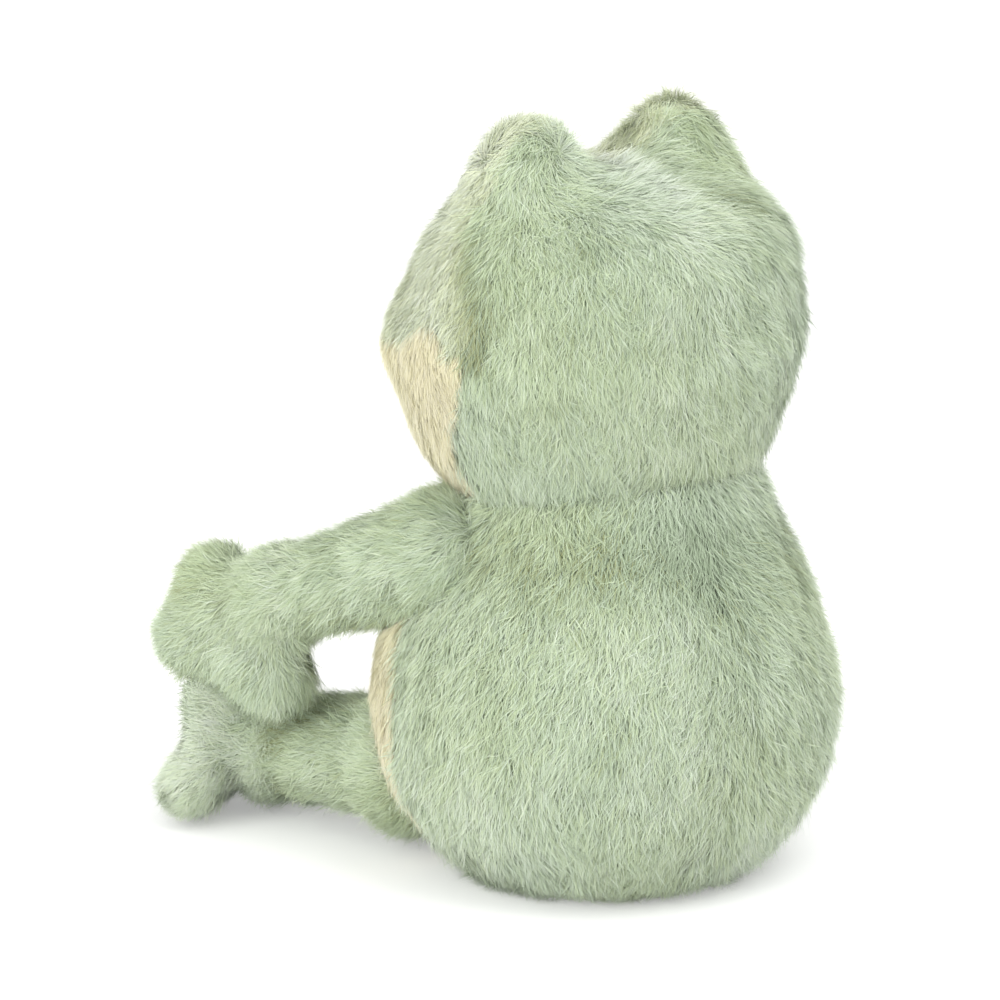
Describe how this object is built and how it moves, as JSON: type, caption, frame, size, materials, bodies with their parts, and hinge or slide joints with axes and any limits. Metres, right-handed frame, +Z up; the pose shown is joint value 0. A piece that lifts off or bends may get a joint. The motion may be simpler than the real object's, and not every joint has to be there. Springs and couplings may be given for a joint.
{
  "type": "seated plush frog",
  "caption": "Seated stuffed frog toy in long pale green plush with cream muzzle and tummy, eye mounds, and limbs and head that turn at their seams.",
  "frame": {"origin": "centre of the round base panel's flat underside, on the floor", "axes": "+Z up, -Y the way the frog faces, +X towards the frog's left side"},
  "size_m": [0.183, 0.2063, 0.2398],
  "materials": {
    "long_pile": "long brushed pale green pile",
    "face_pile": "shorter, paler green pile",
    "cream_pile": "short cream pile",
    "stuffing": "loose white fibre",
    "pouch_cloth": "plain woven cloth",
    "green_thread": "sewing thread",
    "dark_thread": "embroidery thread",
    "eye_bead": "polished black",
    "washer": "moulded, translucent white"
  },
  "bodies": {
    "torso": {"torso_back_left": "long_pile", "torso_back_right": "long_pile", "tummy_panel": "cream_pile", "base_panel": "long_pile", "torso_stuffing": "stuffing", "pellet_pouch": "pouch_cloth"},
    "neck": {"neck_thread": "green_thread"},
    "head": {"head_back_left": "long_pile", "head_back_right": "long_pile", "face_panel": "face_pile", "muzzle_panel": "cream_pile", "head_stuffing": "stuffing", "mouth_stitch": "dark_thread", "eye_left": "eye_bead", "eye_washer_left": "washer", "nostril_stitch_left": "dark_thread", "eye_right": "eye_bead", "eye_washer_right": "washer", "nostril_stitch_right": "dark_thread"},
    "arm_left": {"arm_left_skin": "long_pile", "arm_left_stuffing": "stuffing"},
    "hand_left": {"hand_left_skin": "long_pile", "hand_left_stuffing": "stuffing"},
    "leg_left": {"leg_left_skin": "long_pile", "leg_left_stuffing": "stuffing"},
    "foot_left": {"foot_left_skin": "long_pile", "foot_left_stuffing": "stuffing"},
    "arm_right": {"arm_right_skin": "long_pile", "arm_right_stuffing": "stuffing"},
    "hand_right": {"hand_right_skin": "long_pile", "hand_right_stuffing": "stuffing"},
    "leg_right": {"leg_right_skin": "long_pile", "leg_right_stuffing": "stuffing"},
    "foot_right": {"foot_right_skin": "long_pile", "foot_right_stuffing": "stuffing"}
  },
  "joints": [
    {"name": "neck_turn", "type": "hinge", "parent": "torso", "child": "neck", "pos_m": [0, 0, 0.101], "axis": [0, 0, 1], "range_deg": [-18, 18]},
    {"name": "neck_nod", "type": "hinge", "parent": "neck", "child": "head", "pos_m": [0, 0, 0.101], "axis": [-1, 0, 0], "range_deg": [-3, 12]},
    {"name": "shoulder_left", "type": "hinge", "parent": "torso", "child": "arm_left", "pos_m": [0.048, -0.015, 0.1048], "axis": [-1, 0, 0], "range_deg": [0, 40]},
    {"name": "wrist_left", "type": "hinge", "parent": "arm_left", "child": "hand_left", "pos_m": [0.066, -0.077, 0.0795], "axis": [-1, 0, 0], "range_deg": [0, 20]},
    {"name": "hip_left", "type": "hinge", "parent": "torso", "child": "leg_left", "pos_m": [0.038, -0.045, 0.028], "axis": [0, 0, 1], "range_deg": [0, 35]},
    {"name": "ankle_left", "type": "hinge", "parent": "leg_left", "child": "foot_left", "pos_m": [0.052, -0.101, 0.022], "axis": [1, 0, 0], "range_deg": [0, 20]},
    {"name": "shoulder_right", "type": "hinge", "parent": "torso", "child": "arm_right", "pos_m": [-0.048, -0.015, 0.1048], "axis": [-1, 0, 0], "range_deg": [0, 40]},
    {"name": "wrist_right", "type": "hinge", "parent": "arm_right", "child": "hand_right", "pos_m": [-0.066, -0.077, 0.0795], "axis": [-1, 0, 0], "range_deg": [0, 20]},
    {"name": "hip_right", "type": "hinge", "parent": "torso", "child": "leg_right", "pos_m": [-0.038, -0.045, 0.028], "axis": [0, 0, -1], "range_deg": [0, 35]},
    {"name": "ankle_right", "type": "hinge", "parent": "leg_right", "child": "foot_right", "pos_m": [-0.052, -0.101, 0.022], "axis": [1, 0, 0], "range_deg": [0, 20]}
  ]
}
